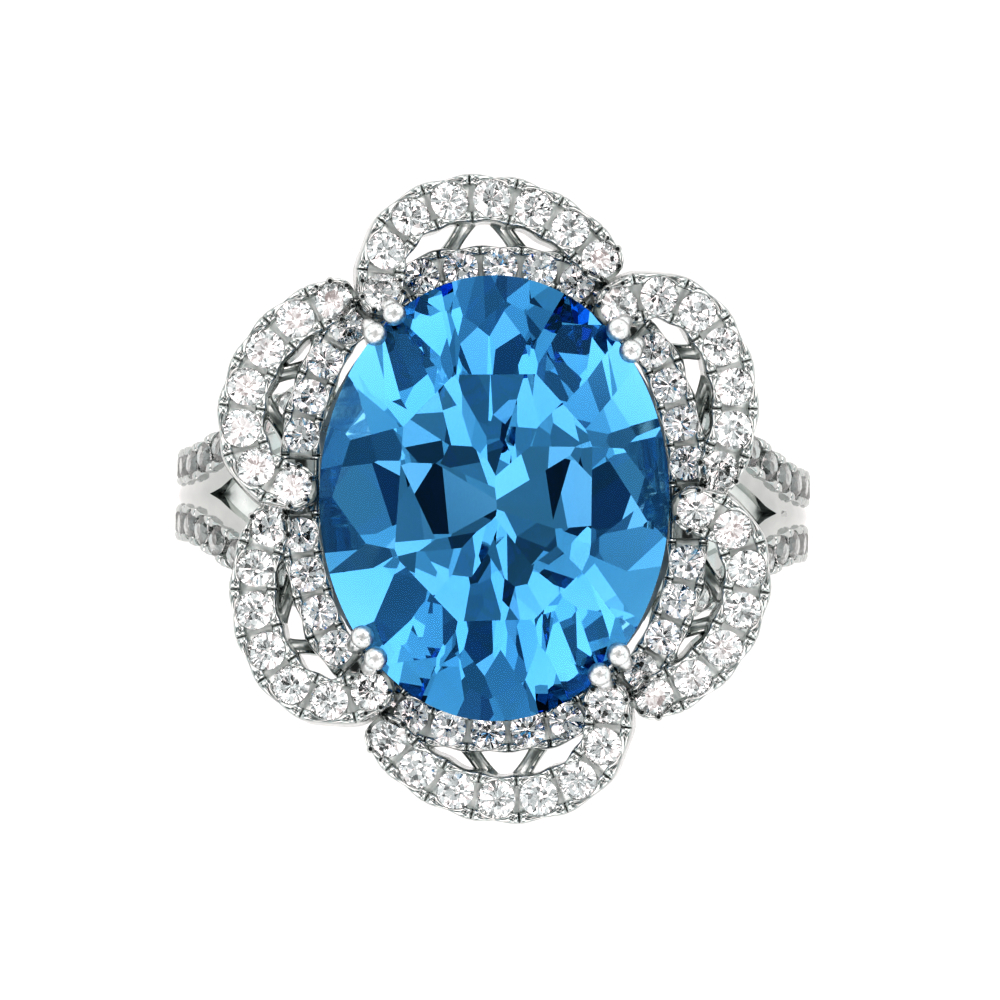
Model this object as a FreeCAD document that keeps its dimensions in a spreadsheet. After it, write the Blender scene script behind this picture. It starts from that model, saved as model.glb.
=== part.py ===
import FreeCAD, Part

import math
import os

import Sketcher

from FreeCAD import Placement, Rotation, Vector

# A cocktail ring: an oval centre stone in eight claws, a halo of round accent stones, six overlapping
# petals set with more of them, and a finger hoop whose shoulders split in two. Millimetres and degrees.
# The finger hole runs along Y through the origin, and the head is on +Z.
DIMENSIONS = {
    # finger hoop
    "bore_diameter": 17.3,
    "hoop_diameter": 20.4,
    "hoop_base_width": 2.2,
    "hoop_side_width": 3.0,
    "flare_level": 1.8,
    "flare_radius": 9.1,
    "flare_top_level": 5.8,
    "split_level": 4.6,
    "split_half_angle": 29.0,
    "arm_top_level": 8.7,
    "arm_end_reach": 3.6,
    "arm_margin": 0.58,
    # head
    "head_turn": 2.0,
    "rail_width": 0.9,
    "base_rail_width": 11.2,
    "base_rail_length": 13.1,
    "base_rail_height": 0.8,
    "gallery_rail_width": 11.5,
    "gallery_rail_length": 13.5,
    "gallery_rail_level": 10.9,
    "gallery_rail_height": 0.6,
    "seat_rail_width": 10.3,
    "seat_rail_length": 12.9,
    "seat_rail_thickness": 0.8,
    "seat_rail_level": 12.45,
    "seat_rail_height": 0.6,
    # centre stone
    "stone_width": 11.0,
    "stone_length": 14.0,
    "girdle_level": 14.0,
    "girdle_thickness": 0.24,
    "crown_height": 1.7,
    "pavilion_depth": 4.6,
    "table_share": 0.58,
    # claws
    "claw_diameter": 0.66,
    "claw_lean": 0.65,
    "claw_rise": 4.9,
    "claw_bend": 0.45,
    "claw_ball_diameter": 0.7,
    # halo
    "halo_width": 12.32,
    "halo_length": 14.7,
    "halo_exponent": 2.27,
    "halo_turn": 3.0,
    "halo_band": 1.2,
    "halo_level": 12.75,
    "halo_height": 1.1,
    "halo_stone_diameter": 1.1,
    "halo_pitch": 1.25,
    # petals
    "petal_band": 1.44,
    "petal_height": 1.1,
    "petal_level": 12.85,
    "petal_rise": 1.0,
    "petal_pitch": 1.35,
    "petal_stone_diameter": 1.2,
    "end_bend": 4.65,
    "end_sweep": 74.0,
    "end_curl": 2.45,
    "upper_bend": 4.0,
    "upper_sweep": 81.0,
    "upper_curl": 1.85,
    "lower_bend": 4.25,
    "lower_sweep": 69.0,
    "lower_curl": 2.1,
    "strut_diameter": 0.5,
    # hoop accents
    "hoop_stone_diameter": 1.0,
    "hoop_pitch": 1.16,
    "hoop_first_angle": 41.0,
    # small balls of metal that hold the accent stones
    "bead_diameter": 0.34,
}

# Each petal's centreline is a bend and then a tighter curl. It starts at a point with a heading, and
# its repeat on the other side of the head is the same piece turned half round.
PETALS = {
    "end": {"start": (3.35, 7.55), "heading": 126.0, "stones": 8, "names": ("top", "bottom")},
    "upper": {"start": (-5.05, 6.25), "heading": 196.0, "stones": 7, "names": ("upper_left", "lower_right")},
    "lower": {"start": (-7.1, -0.9), "heading": 242.0, "stones": 7, "names": ("lower_left", "upper_right")},
}
# The halo's accents show in the openings between the petals' ends: the first stone's angle and the count.
HALO_GROUPS = {
    ("top", "bottom"): (69.0, 5),
    ("upper_left", "lower_right"): (130.5, 4),
    ("lower_left", "upper_right"): (190.5, 4),
}
# Polar angle and distance of each claw's ball from the head's axis.
CLAWS = {
    ("upper_left", "lower_right"): ((119.6, 6.5), (127.2, 6.3)),
    ("lower_left", "upper_right"): ((226.8, 6.15), (233.6, 6.4)),
}
STONE_CROWN = 0.15
STONE_PAVILION = 0.43
STONE_TABLE = 0.57
LIGHT_HOLE = 0.5
CROWN_MEET = 0.5
PAVILION_MEET = 0.76
# Beads past the first and last stone of a petal, as a share of the pitch.
END_BEAD = 0.34
# How far to each side of a row its beads stand, and how deep stones and beads sit in the metal.
HOOP_BEAD_ASIDE = 0.4
HALO_BEAD_ASIDE = 0.42
PETAL_BEAD_ASIDE = 0.5
SINK = 0.05
PETAL_BEAD_SINK = 0.03
LIGHT_HOLE_DEPTH = 3.0
HOOP_ROW_STONES = 8
# The hoop's blank is wider and its cuts go further than the finished metal anywhere.
BLANK_WIDTH = 12.0
BEYOND = 12.0
THROUGH = 40.0
CROWN_CUT_LEVEL = 5.0
HALO_CURVE_POINTS = 48
WALK_STEP = 0.25
FACET_BLOCK = 60.0
# A strut starts under its petal, near the middle and to one side of it, and lands on the halo's side.
STRUT_START = 0.45
STRUT_SPREAD = 0.3
STRUT_DEPTH = 0.8
STRUT_FOOT_SPREAD = 7.0
STRUT_FOOT_ASIDE = 0.3
STRUT_FOOT_DROP = 0.6
AXIS_Z = Vector(0, 0, 1)

doc = FreeCAD.newDocument("cocktail_ring")
nodes = []


def make_sheet():
    sheet = doc.addObject("Spreadsheet::Sheet", "dims")
    for row, (alias, number) in enumerate(DIMENSIONS.items(), start=1):
        sheet.set(f"A{row}", alias)
        sheet.set(f"B{row}", str(number))
        sheet.setAlias(f"B{row}", alias)
    doc.recompute()
    return sheet


dims = make_sheet()


def dim(alias):
    return float(dims.get(alias))


def new_object(kind, label, **expressions):
    item = doc.addObject(kind, label)
    for name, expression in expressions.items():
        item.setExpression(name, expression)
    return item


def keep(item):
    """Counts an object as a node of the ring."""
    nodes.append(item)
    return item


def keep_on_head(item):
    """A node of the head, which sits a little turned on the hoop."""
    item.Placement = Placement(Vector(), Rotation(AXIS_Z, dim("head_turn"))) * item.Placement
    return keep(item)


def feature(label, shape):
    item = doc.addObject("Part::Feature", label)
    item.Shape = shape
    return item


def boolean(kind, label, base, tool):
    item = doc.addObject(kind, label)
    item.Base = base
    item.Tool = tool
    return item


def sketch_on(body, role, name):
    sketch = body.newObject("Sketcher::SketchObject", name)
    plane = next(face for face in body.Origin.OriginFeatures if face.Role == role)
    sketch.AttachmentSupport = [(plane, "")]
    sketch.MapMode = "FlatFace"
    return sketch


def half_turn(half):
    return Placement(Vector(), Rotation(AXIS_Z, 180.0 * half))


def polar(distance, angle):
    return Vector(distance * math.cos(math.radians(angle)), distance * math.sin(math.radians(angle)), 0)


# ---------------------------------------------------------------------------------------- accent stones


def brilliant(label, diameter):
    """A round accent stone, with its girdle's top in the XY plane."""
    body = doc.addObject("PartDesign::Body", label)
    radius = dim(diameter) / 2
    girdle = 0.03 * dim(diameter)
    corners = [
        (0, STONE_CROWN * 2 * radius),
        (STONE_TABLE * radius, STONE_CROWN * 2 * radius),
        (radius, 0),
        (radius, -girdle),
        (0, -girdle - STONE_PAVILION * 2 * radius),
    ]
    sketch = sketch_on(body, "XZ_Plane", label + "_profile")
    for start, end in zip(corners, corners[1:] + corners[:1]):
        sketch.addGeometry(Part.LineSegment(Vector(*start, 0), Vector(*end, 0)), False)
    revolution = body.newObject("PartDesign::Revolution", label + "_turned")
    revolution.Profile = sketch
    revolution.ReferenceAxis = (sketch, ["V_Axis"])
    revolution.Angle = 360
    doc.recompute()
    return body.Shape


def seat_for(stone, diameter):
    """What the metal loses to one accent stone: the stone's own room and a light hole under it."""
    foot = Vector(0, 0, -LIGHT_HOLE_DEPTH)
    hole = Part.makeCylinder(LIGHT_HOLE * dim(diameter) / 2, LIGHT_HOLE_DEPTH, foot)
    return stone.fuse(hole)


def copies(shape, places):
    return Part.Compound([shape.transformed(place.toMatrix(), True) for place in places])


def beads(places):
    radius = dim("bead_diameter") / 2
    return Part.Compound([Part.makeSphere(radius, place.Base) for place in places])


def set_stones(label, blank, stone, diameter, stone_places, bead_places):
    """Cuts the accents' seats into a blank and raises the beads that hold them."""
    seats = feature(label + "_seats", copies(seat_for(stone, diameter), stone_places))
    seated = boolean("Part::Cut", label + "_seated", blank, seats)
    grains = feature(label + "_beads", beads(bead_places))
    return boolean("Part::Fuse", label, seated, grains)


# ----------------------------------------------------------------------------------------- finger hoop


def hoop_half_width(level):
    """Half the hoop's width at a height: a taper, a flare along an arc, and the arc's tangent."""
    base, side = dim("hoop_base_width") / 2, dim("hoop_side_width") / 2
    flare, bottom = dim("flare_level"), -dim("hoop_diameter") / 2
    if level < flare:
        return base + (side - base) * (level - bottom) / (flare - bottom)
    radius, top = dim("flare_radius"), dim("flare_top_level")
    climb = min(level, top) - flare
    run = math.sqrt(radius**2 - climb**2)
    return side + radius - run + max(0.0, level - top) * climb / run


def hoop_blank():
    """The hoop before its stones are set: a ring, narrowed from the side and split at the shoulders."""
    body = doc.addObject("PartDesign::Body", "hoop_blank")
    ring = sketch_on(body, "XZ_Plane", "hoop_ring")
    for alias in ("hoop_diameter", "bore_diameter"):
        circle = ring.addGeometry(Part.Circle(Vector(), AXIS_Z, dim(alias) / 2), False)
        ring.addConstraint(Sketcher.Constraint("Coincident", circle, 3, -1, 1))
        size = ring.addConstraint(Sketcher.Constraint("Diameter", circle, dim(alias)))
        ring.setExpression(f"Constraints[{size}]", f"dims.{alias}")
    pad = body.newObject("PartDesign::Pad", "hoop_pad")
    pad.Profile = ring
    pad.SideType = "Symmetric"
    pad.Length = BLANK_WIDTH
    doc.recompute()
    cut_through(body, "hoop_sides", side_outlines())
    cut_through(body, "hoop_split", [split_outline()])
    cut_through(body, "hoop_crown", [crown_outline()], "XZ_Plane")
    return body


def cut_through(body, name, outlines, role="YZ_Plane"):
    """A pocket through the whole body, both ways from its plane."""
    before = body.Shape.Volume
    sketch = sketch_on(body, role, name + "_outline")
    for edges in outlines:
        for edge in edges:
            sketch.addGeometry(edge, False)
    pocket = body.newObject("PartDesign::Pocket", name)
    pocket.Profile = sketch
    pocket.SideType = "Symmetric"
    pocket.Length = THROUGH
    doc.recompute()
    if body.Shape.Volume > before - 1e-3:
        raise RuntimeError(name + " removes nothing")


def side_outlines():
    """The waste on both sides of the hoop, seen along X: a taper, the flare's arc and its tangent."""
    flare, flare_top = dim("flare_level"), dim("flare_top_level")
    outlines = []
    for way in (1, -1):

        def edge_at(level):
            return Vector(way * hoop_half_width(level), level, 0)

        arc = Part.Arc(edge_at(flare), edge_at((flare + flare_top) / 2), edge_at(flare_top))
        far_corners = [Vector(way * BEYOND, level, 0) for level in (BEYOND, -BEYOND)]
        corners = [edge_at(BEYOND), *far_corners, edge_at(-BEYOND)]
        edges = [arc, Part.LineSegment(edge_at(flare_top), corners[0])]
        edges += [Part.LineSegment(a, b) for a, b in zip(corners, corners[1:])]
        edges.append(Part.LineSegment(corners[-1], edge_at(flare)))
        outlines.append(edges)
    return outlines


def split_half_width(level):
    return max(0.0, (level - dim("split_level")) * math.tan(math.radians(dim("split_half_angle"))))


def split_outline():
    half = split_half_width(BEYOND)
    corners = [Vector(0, dim("split_level"), 0), Vector(half, BEYOND, 0), Vector(-half, BEYOND, 0)]
    return [Part.LineSegment(a, b) for a, b in zip(corners, corners[1:] + corners[:1])]


def crown_outline():
    """The waste above and between the arms, seen along Y."""
    reach, top = dim("arm_end_reach"), dim("arm_top_level")
    right = [(reach, CROWN_CUT_LEVEL), (reach, top), (BEYOND, top), (BEYOND, BEYOND)]
    left = [(-x, z) for x, z in reversed(right)]
    corners = [Vector(x, z, 0) for x, z in right + left]
    return [Part.LineSegment(a, b) for a, b in zip(corners, corners[1:] + corners[:1])]


def hoop_places(side, way, angles, lateral=0.0, sink=0.0):
    """Places on the hoop's outside, along the middle of one arm; lateral is across the arm."""
    places = []
    for angle in angles:
        turn = Rotation(Vector(0, 1, 0), side * angle)
        level = dim("hoop_diameter") / 2 * math.cos(math.radians(angle))
        across = way * (hoop_half_width(level) - dim("arm_margin") + lateral)
        out = turn.multVec(Vector(0, 0, dim("hoop_diameter") / 2 - sink))
        places.append(Placement(Vector(out.x, across, out.z), turn))
    return places


def make_hoop():
    blank = hoop_blank()
    stone = brilliant("hoop_stone_master", "hoop_stone_diameter")
    step = math.degrees(dim("hoop_pitch") / (dim("hoop_diameter") / 2))
    first = dim("hoop_first_angle")
    angles = [first + step * number for number in range(HOOP_ROW_STONES)]
    gaps = [first + step * (number - 0.5) for number in range(HOOP_ROW_STONES + 1)]
    all_stones, all_beads = [], []
    for side, side_name in ((-1, "left"), (1, "right")):
        for way, way_name in ((1, "upper"), (-1, "lower")):
            places = hoop_places(side, way, angles, sink=SINK)
            all_stones += places
            for lateral in (-HOOP_BEAD_ASIDE, HOOP_BEAD_ASIDE):
                all_beads += hoop_places(side, way, gaps, lateral, SINK)
            keep(feature(f"hoop_stones_{side_name}_{way_name}", copies(stone, places)))
    keep(set_stones("finger_hoop", blank, stone, "hoop_stone_diameter", all_stones, all_beads))


# ---------------------------------------------------------------------------------------- centre stone


def facet_cut(shape, azimuth, steepness, reach):
    """Removes all that is beyond one facet of a round stone of unit radius, stretched to the oval.

    The facet is where distance * cos(angle - azimuth) + steepness * height = reach.
    """
    wide, long = dim("stone_width") / 2, dim("stone_length") / 2
    across, along = math.cos(math.radians(azimuth)) / wide, math.sin(math.radians(azimuth)) / long
    normal = Vector(across, along, steepness)
    foot = normal * (reach / normal.Length**2)
    corner = Vector(-FACET_BLOCK / 2, -FACET_BLOCK / 2, 0)
    block = Part.makeBox(FACET_BLOCK, FACET_BLOCK, FACET_BLOCK, corner)
    block.Placement = Placement(foot, Rotation(AXIS_Z, normal))
    return shape.cut(block)


def centre_stone():
    """The faceted oval, with the middle of its girdle in the XY plane."""
    crown, pavilion = dim("crown_height"), dim("pavilion_depth")
    rim, table, step = dim("girdle_thickness") / 2, dim("table_share"), 22.5
    ridge, near = math.cos(math.radians(step)), math.cos(math.radians(step / 2))
    outline = Part.Ellipse(Vector(), dim("stone_length") / 2, dim("stone_width") / 2)
    stone = Part.Face(Part.Wire(outline.toShape())).extrude(Vector(0, 0, crown + pavilion))
    stone.Placement = Placement(Vector(0, 0, -pavilion), Rotation(AXIS_Z, 90))
    main = (1 - table) / (crown - rim)
    under = 1 / (pavilion - rim)
    # where the halves by the girdle end on the ridge between two mains, as a height from the rim
    over_meet, under_meet = CROWN_MEET * (crown - rim), PAVILION_MEET * (pavilion - rim)
    upper = (1 - near / ridge * (1 - main * over_meet)) / over_meet
    lower = (1 - near / ridge * (1 - PAVILION_MEET)) / under_meet
    meet_distance = (1 - main * over_meet) / ridge
    star = (meet_distance - table * ridge) / (crown - rim - over_meet)
    for number in range(8):
        azimuth = 2 * step * number
        stone = facet_cut(stone, azimuth, main, 1 + main * rim)
        stone = facet_cut(stone, azimuth + step, star, table * ridge + star * crown)
        stone = facet_cut(stone, azimuth, -under, 1 + under * rim)
        for half in (azimuth + step / 2, azimuth - step / 2):
            stone = facet_cut(stone, half, upper, 1 + upper * rim)
            stone = facet_cut(stone, half, -lower, 1 + lower * rim)
    return stone


# -------------------------------------------------------------------------------------- rails and claws


def oval_rail(label, width, length, thickness, level, height):
    """An upright oval ring, between two ellipses."""
    tubes = []
    for name, inset in (("outside", "0"), ("inside", f"dims.{thickness}")):
        oval = new_object(
            "Part::Ellipse",
            f"{label}_{name}",
            MajorRadius=f"dims.{length} / 2 - {inset}",
            MinorRadius=f"dims.{width} / 2 - {inset}",
        )
        oval.Placement = Placement(Vector(), Rotation(AXIS_Z, 90))
        oval.setExpression("Placement.Base.z", f"dims.{level}")
        tube = new_object("Part::Extrusion", f"{label}_{name}_block", LengthFwd=f"dims.{height}")
        tube.Base = oval
        tube.Dir = AXIS_Z
        tube.Solid = True
        tubes.append(tube)
    return boolean("Part::Cut", label, *tubes)


def claw_master():
    """One claw: a leaning wire that bends in over the girdle and ends in a ball. It leans along +X."""
    lean, rise, bend = dim("claw_lean"), dim("claw_rise"), dim("claw_bend")
    body = doc.addObject("PartDesign::Body", "claw_master")
    path = sketch_on(body, "XZ_Plane", "claw_path")
    tilt = math.atan2(lean, rise)
    shoulder = Vector(lean, rise, 0)
    centre = shoulder + Vector(-math.cos(tilt), math.sin(tilt), 0) * bend
    top = centre + Vector(0, bend, 0)
    path.addGeometry(Part.LineSegment(Vector(), shoulder), False)
    path.addGeometry(Part.ArcOfCircle(Part.Circle(centre, AXIS_Z, bend), -tilt, math.pi / 2), False)
    profile = sketch_on(body, "XY_Plane", "claw_section")
    circle = profile.addGeometry(Part.Circle(Vector(), AXIS_Z, dim("claw_diameter") / 2), False)
    size = profile.addConstraint(Sketcher.Constraint("Diameter", circle, dim("claw_diameter")))
    profile.setExpression(f"Constraints[{size}]", "dims.claw_diameter")
    pipe = body.newObject("PartDesign::AdditivePipe", "claw_wire")
    pipe.Profile = profile
    pipe.Spine = path
    ball = body.newObject("PartDesign::AdditiveSphere", "claw_ball")
    ball.setExpression("Radius", "dims.claw_ball_diameter / 2")
    ball.AttachmentOffset = Placement(Vector(top.x, 0, top.y), Rotation())
    body.Tip = ball
    doc.recompute()
    return body.Shape, top.x


def make_basket(stone):
    """The eight claws and the three rails that tie them together."""
    claw, ball_offset = claw_master()
    foot_level = dim("arm_top_level") + dim("base_rail_height") / 2
    for names, balls in CLAWS.items():
        for half, name in enumerate(names):
            pair = []
            for angle, distance in balls:
                foot = polar(distance - ball_offset, angle) + Vector(0, 0, foot_level)
                place = half_turn(half) * Placement(foot, Rotation(AXIS_Z, angle))
                pair.append(claw.transformed(place.toMatrix(), True).cut(stone))
            keep_on_head(feature("claws_" + name, Part.Compound(pair)))
    base = oval_rail(
        "base_rail",
        "base_rail_width",
        "base_rail_length",
        "rail_width",
        "arm_top_level",
        "base_rail_height",
    )
    gallery = oval_rail(
        "gallery_rail",
        "gallery_rail_width",
        "gallery_rail_length",
        "rail_width",
        "gallery_rail_level",
        "gallery_rail_height",
    )
    seat = oval_rail(
        "seat_rail_blank",
        "seat_rail_width",
        "seat_rail_length",
        "seat_rail_thickness",
        "seat_rail_level",
        "seat_rail_height",
    )
    bearing = feature("seat_rail_bearing", stone)
    keep_on_head(base)
    keep_on_head(gallery)
    keep_on_head(boolean("Part::Cut", "seat_rail", seat, bearing))


# ------------------------------------------------------------------------------------------------ halo


def halo_point(angle, aside=0.0):
    """A point of the halo's centreline, a superellipse, or one moved squarely aside from it."""
    wide, long, power = dim("halo_width") / 2, dim("halo_length") / 2, dim("halo_exponent")
    turn = Rotation(AXIS_Z, dim("halo_turn"))
    cosine, sine = math.cos(math.radians(angle)), math.sin(math.radians(angle))
    distance = (abs(cosine / wide) ** power + abs(sine / long) ** power) ** (-1 / power)
    point = Vector(distance * cosine, distance * sine, 0)
    out = Vector(
        math.copysign(abs(point.x / wide) ** (power - 1) / wide, point.x),
        math.copysign(abs(point.y / long) ** (power - 1) / long, point.y),
        0,
    ).normalize()
    return turn.multVec(point + out * aside), turn.multVec(out)


def halo_loop(aside):
    angles = [360.0 * number / HALO_CURVE_POINTS for number in range(HALO_CURVE_POINTS)]
    points = [halo_point(angle, aside)[0] for angle in angles]
    curve = Part.BSplineCurve()
    curve.interpolate(points, True)
    return Part.Face(Part.Wire(curve.toShape()))


def halo_walk(angle, distance):
    """The angle of the point that lies a given distance along the halo's centreline."""
    gone = 0.0
    here = halo_point(angle)[0]
    while gone < distance:
        angle += WALK_STEP
        there = halo_point(angle)[0]
        gone += (there - here).Length
        here = there
    return angle


def halo_places(angles, aside=0.0, sink=0.0):
    level = dim("halo_level") - sink
    places = []
    for angle in angles:
        point, out = halo_point(angle, aside)
        turn = math.degrees(math.atan2(out.y, out.x))
        places.append(Placement(point + Vector(0, 0, level), Rotation(AXIS_Z, turn)))
    return places


def make_halo():
    """The rail around the centre stone, set with accents wherever the petals leave it in view."""
    half, height = dim("halo_band") / 2, Vector(0, 0, -dim("halo_height"))
    ring = halo_loop(half).cut(halo_loop(-half)).extrude(height)
    ring.translate(Vector(0, 0, dim("halo_level")))
    blank = feature("halo_blank", ring)
    stone = brilliant("halo_stone_master", "halo_stone_diameter")
    pitch = dim("halo_pitch")
    all_stones, all_beads = [], []
    for names, (first, count) in HALO_GROUPS.items():
        start = first - dim("halo_turn")
        angles = [halo_walk(start, pitch * number) for number in range(count)]
        before = 2 * start - halo_walk(start, pitch / 2)
        gaps = [before] + [halo_walk(start, pitch * (number + 0.5)) for number in range(count)]
        for half_number, name in enumerate(names):
            turn = half_turn(half_number)
            places = [turn * place for place in halo_places(angles, sink=SINK)]
            all_stones += places
            for aside in (-HALO_BEAD_ASIDE, HALO_BEAD_ASIDE):
                all_beads += [turn * place for place in halo_places(gaps, aside, SINK)]
            keep_on_head(feature("halo_stones_" + name, copies(stone, places)))
    keep_on_head(set_stones("halo_rail", blank, stone, "halo_stone_diameter", all_stones, all_beads))
    return blank


# ---------------------------------------------------------------------------------------------- petals


class PetalPath:
    """A petal's centreline in its own plane: from the origin along +X, a bend and a tighter curl."""

    def __init__(self, kind):
        self.kind = kind
        self.bend, self.curl = dim(kind + "_bend"), dim(kind + "_curl")
        self.sweep = dim(kind + "_sweep")
        self.stones = PETALS[kind]["stones"]
        self.length = dim("petal_pitch") * (self.stones - 1)
        self.bend_length = math.radians(self.sweep) * self.bend
        self.curl_sweep = math.degrees((self.length - self.bend_length) / self.curl)
        self.bend_centre = Vector(0, self.bend, 0)
        self.curl_centre = self.bend_centre + polar(self.bend - self.curl, self.sweep - 90)

    def at(self, distance, aside=0.0):
        """The point and heading at a distance along, or one moved aside, away from the inner side."""
        if distance < self.bend_length:
            heading = math.degrees(distance / self.bend)
            return self.bend_centre + polar(self.bend + aside, heading - 90), heading
        heading = self.sweep + math.degrees((distance - self.bend_length) / self.curl)
        return self.curl_centre + polar(self.curl + aside, heading - 90), heading


def petal_body(path):
    """A flat curved band with round ends, with its top in the XY plane."""
    body = doc.addObject("PartDesign::Body", path.kind + "_petal_band")
    sketch = sketch_on(body, "XY_Plane", path.kind + "_petal_outline")
    half = dim("petal_band") / 2
    end, heading = path.at(path.length)
    turned = path.sweep + path.curl_sweep - 90

    def arc(centre, radius, first, last):
        circle = Part.Circle(centre, AXIS_Z, radius)
        return sketch.addGeometry(Part.ArcOfCircle(circle, math.radians(first), math.radians(last)), False)

    outer_bend = arc(path.bend_centre, path.bend + half, -90, path.sweep - 90)
    outer_curl = arc(path.curl_centre, path.curl + half, path.sweep - 90, turned)
    end_cap = arc(end, half, heading - 90, heading + 90)
    inner_curl = arc(path.curl_centre, path.curl - half, path.sweep - 90, turned)
    inner_bend = arc(path.bend_centre, path.bend - half, -90, path.sweep - 90)
    start_cap = arc(Vector(), half, 90, 270)
    first, last = 1, 2
    joints = [
        (outer_bend, last, outer_curl, first),
        (outer_curl, last, end_cap, first),
        (end_cap, last, inner_curl, last),
        (inner_curl, first, inner_bend, last),
        (inner_bend, first, start_cap, first),
        (start_cap, last, outer_bend, first),
    ]
    for joint in joints:
        sketch.addConstraint(Sketcher.Constraint("Tangent", *joint))
    sizes = [
        (outer_bend, "bend", "+"),
        (inner_bend, "bend", "-"),
        (outer_curl, "curl", "+"),
        (inner_curl, "curl", "-"),
    ]
    for edge, part, sign in sizes:
        size = sketch.addConstraint(Sketcher.Constraint("Radius", edge, sketch.Geometry[edge].Radius))
        sketch.setExpression(f"Constraints[{size}]", f"dims.{path.kind}_{part} {sign} dims.petal_band / 2")
    pad = body.newObject("PartDesign::Pad", path.kind + "_petal_pad")
    pad.Profile = sketch
    pad.Reversed = True
    pad.setExpression("Length", "dims.petal_height")
    doc.recompute()
    return body


def petal_place(path, half):
    """Tilts a petal about its first heading, so that its end rises over the halo."""
    details = PETALS[path.kind]
    end, _ = path.at(path.length)
    tilt = math.degrees(math.asin(dim("petal_rise") / end.y))
    start = Vector(*details["start"], dim("petal_level"))
    flat = Placement(start, Rotation(AXIS_Z, details["heading"]))
    return half_turn(half) * flat * Placement(Vector(), Rotation(Vector(1, 0, 0), tilt))


def petal_places(path, distances, aside=0.0, sink=0.0):
    places = []
    for distance in distances:
        point, heading = path.at(distance, aside)
        places.append(Placement(point - AXIS_Z * sink, Rotation(AXIS_Z, heading)))
    return places


def strut(path, place, spread):
    """A wire from under the petal to the side of the halo rail, as one leg of a letter A."""
    head, _ = path.at(path.length * STRUT_START + spread * STRUT_SPREAD)
    head = place.multVec(head - AXIS_Z * dim("petal_height") * STRUT_DEPTH)
    foot_angle = math.degrees(math.atan2(head.y, head.x)) - dim("halo_turn") + spread * STRUT_FOOT_SPREAD
    foot = halo_point(foot_angle, dim("halo_band") * STRUT_FOOT_ASIDE)[0]
    foot += AXIS_Z * (dim("halo_level") - STRUT_FOOT_DROP)
    along = head - foot
    return Part.makeCylinder(dim("strut_diameter") / 2, along.Length, foot, along)


def make_petals(halo_blank):
    stone = brilliant("petal_stone_master", "petal_stone_diameter")
    pitch, diameter = dim("petal_pitch"), "petal_stone_diameter"
    for kind, details in PETALS.items():
        path = PetalPath(kind)
        distances = [pitch * number for number in range(path.stones)]
        gaps = [pitch * (number + 0.5) for number in range(path.stones - 1)]
        gaps = [-END_BEAD * pitch] + gaps + [path.length + END_BEAD * pitch]
        band = petal_body(path)
        stones = petal_places(path, distances, sink=SINK)
        grains = petal_places(path, gaps, -PETAL_BEAD_ASIDE, PETAL_BEAD_SINK)
        grains += petal_places(path, gaps, PETAL_BEAD_ASIDE, PETAL_BEAD_SINK)
        master = set_stones(kind + "_petal_master", band, stone, diameter, stones, grains)
        doc.recompute()
        for half, name in enumerate(details["names"]):
            place = petal_place(path, half)
            turned = feature(f"petal_{name}_untrimmed", master.Shape.transformed(place.toMatrix(), True))
            keep_on_head(boolean("Part::Cut", "petal_" + name, turned, halo_blank))
            keep_on_head(feature("petal_stones_" + name, copies(stone, [place * spot for spot in stones])))
            bodies = Part.Compound([turned.Shape, halo_blank.Shape])
            legs = [strut(path, place, spread).cut(bodies).Solids for spread in (-1, 1)]
            longest = [max(pieces, key=lambda piece: piece.Volume) for pieces in legs]
            keep_on_head(feature("petal_struts_" + name, Part.Compound(longest)))


# ----------------------------------------------------------------------------------------------- output


def check_and_write():
    doc.recompute()
    os.makedirs("parts", exist_ok=True)
    for item in doc.Objects:
        if "Invalid" in item.State or "Error" in item.State:
            raise RuntimeError(f"{item.Label} failed: {item.State}")
    for item in nodes:
        if item.Shape.isNull() or not item.Shape.isValid():
            raise RuntimeError(f"{item.Label} has no valid shape")
    for item in nodes:
        item.Shape.exportStep(f"parts/{item.Label}.step")


make_hoop()
oval = centre_stone()
oval.translate(Vector(0, 0, dim("girdle_level")))
keep_on_head(feature("centre_stone", oval))
make_basket(oval)
make_petals(make_halo())
check_and_write()
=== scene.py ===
import math
import random

import bmesh
import bpy
import numpy as np
from mathutils import Matrix, Vector


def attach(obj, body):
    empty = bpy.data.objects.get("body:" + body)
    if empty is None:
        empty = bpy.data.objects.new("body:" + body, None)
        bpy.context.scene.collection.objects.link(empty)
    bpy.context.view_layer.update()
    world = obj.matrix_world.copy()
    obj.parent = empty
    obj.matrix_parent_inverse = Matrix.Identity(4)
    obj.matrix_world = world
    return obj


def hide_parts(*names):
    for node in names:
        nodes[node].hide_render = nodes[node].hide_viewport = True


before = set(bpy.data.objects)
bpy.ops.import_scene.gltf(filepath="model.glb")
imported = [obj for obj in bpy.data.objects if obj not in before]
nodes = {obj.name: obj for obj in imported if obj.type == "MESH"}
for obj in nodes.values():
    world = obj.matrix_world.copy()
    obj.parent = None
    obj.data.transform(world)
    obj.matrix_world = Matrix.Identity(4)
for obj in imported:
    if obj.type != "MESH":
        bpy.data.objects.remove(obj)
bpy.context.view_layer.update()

# A cocktail ring on a pale floor. The places and sizes of the accent stones, and so of the bands
# that they are set in, are read from the frame, and so are the places of the claws and struts.
# Lengths in the tables and functions below are in millimetres, and become metres where a mesh is
# made.
MM = 0.001

HEAD_TURN = math.radians(2.0)
PETALS = ("top", "upper_left", "lower_left", "bottom", "lower_right", "upper_right")

# the centre stone's girdle: its level, and half its width and length
GIRDLE_LEVEL = 14.0
STONE_WIDE, STONE_LONG = 5.5, 7.0

BORE_RADIUS = 8.65
HOOP_RADIUS = 10.2
# the arms stop at this angle from the top, and don't rise above this level
ARM_END, ARM_TOP = 22.0, 8.75
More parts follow.
